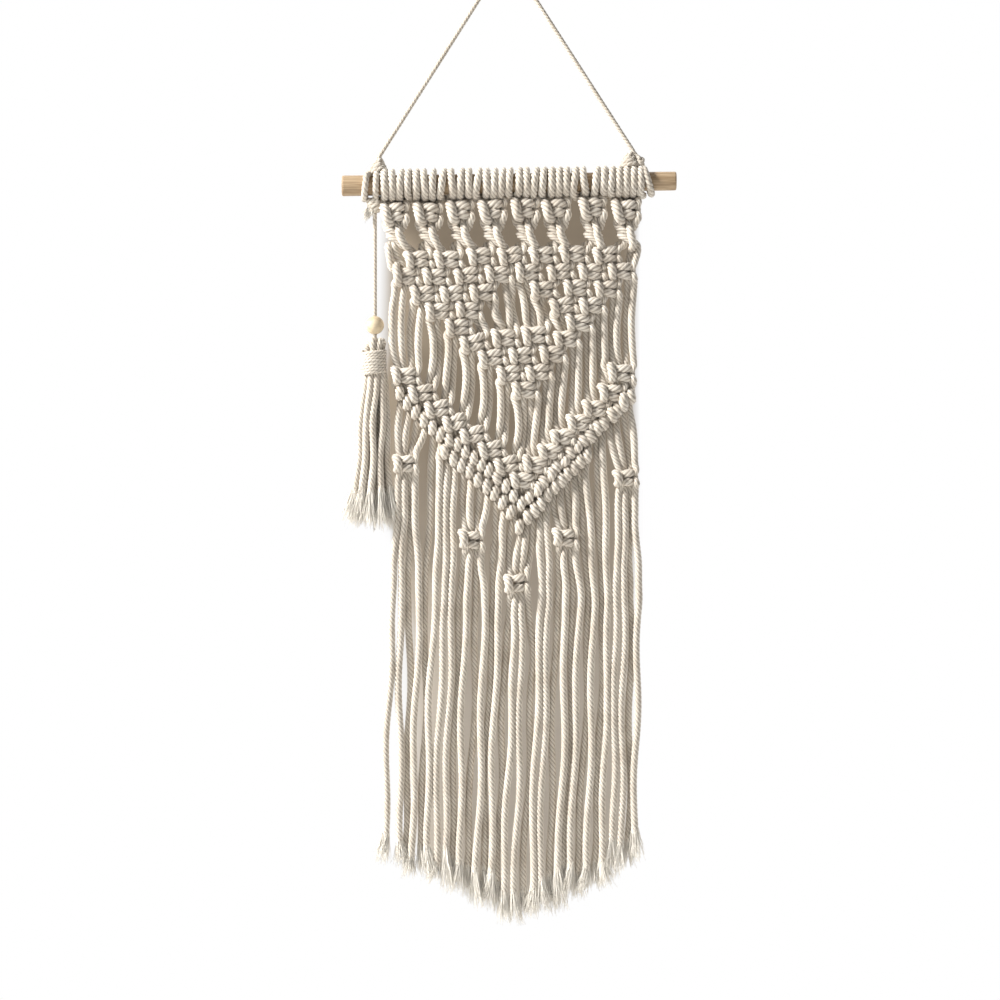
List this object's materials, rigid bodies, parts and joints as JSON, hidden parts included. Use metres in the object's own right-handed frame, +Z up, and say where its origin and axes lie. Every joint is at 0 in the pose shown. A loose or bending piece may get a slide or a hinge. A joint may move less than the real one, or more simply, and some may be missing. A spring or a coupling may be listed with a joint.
{
  "type": "macrame wall hanging on wooden dowel",
  "caption": "Cotton macrame wall hanging on a wooden dowel: knotted heads, open lattice, wide V of knots and long combed fringe, with a hanging cord and a beaded side tassel.",
  "frame": {"origin": "top of the nail that the hanging cord passes over, under the cord at its highest point", "axes": "+X to the right as one looks at the hanging, +Y towards the wall, +Z up"},
  "size_m": [0.2496, 0.0258, 0.7172],
  "materials": {
    "cotton_cord": "matte natural cotton, single twist",
    "pine": "bare sanded",
    "bead_wood": "bare smooth"
  },
  "bodies": {
    "root": {"dowel": "pine", "knotted_net": "cotton_cord", "hanger_cord": "cotton_cord", "hanger_knot_left": "cotton_cord", "hanger_knot_right": "cotton_cord", "tassel_cord": "cotton_cord", "tassel_bead": "bead_wood", "tassel": "cotton_cord"}
  },
  "joints": []
}
